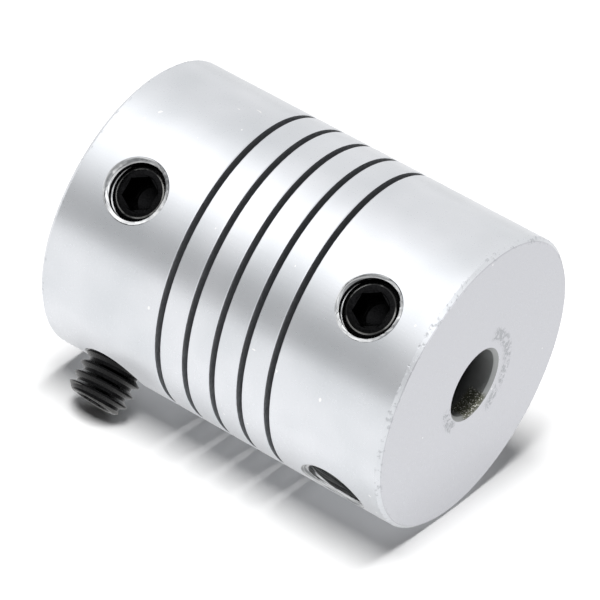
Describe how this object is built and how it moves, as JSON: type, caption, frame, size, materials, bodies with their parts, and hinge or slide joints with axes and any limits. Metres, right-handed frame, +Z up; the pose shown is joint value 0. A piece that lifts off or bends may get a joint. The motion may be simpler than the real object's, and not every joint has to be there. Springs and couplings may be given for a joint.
{
  "type": "flexible shaft coupling",
  "caption": "One-piece helical beam coupling: a short round aluminium sleeve with a spiral slot, bored for two shafts that set screws hold.",
  "frame": {"origin": "the middle of the coupling's length, on its axis", "axes": "+X along the coupling's axis, out of the near shaft bore; +Z up, with the coupling lying on its side and on the end of its backed-out set screw, which is on the -Y side at the far hub"},
  "size_m": [0.025, 0.019, 0.019],
  "materials": {
    "anodised_aluminium": "satin",
    "black_steel": "satin"
  },
  "bodies": {
    "root": {"coupling_body": "anodised_aluminium", "screw_near_upper": "black_steel", "screw_near_lower": "black_steel", "screw_far_upper": "black_steel", "screw_far_lower": "black_steel"}
  },
  "joints": []
}
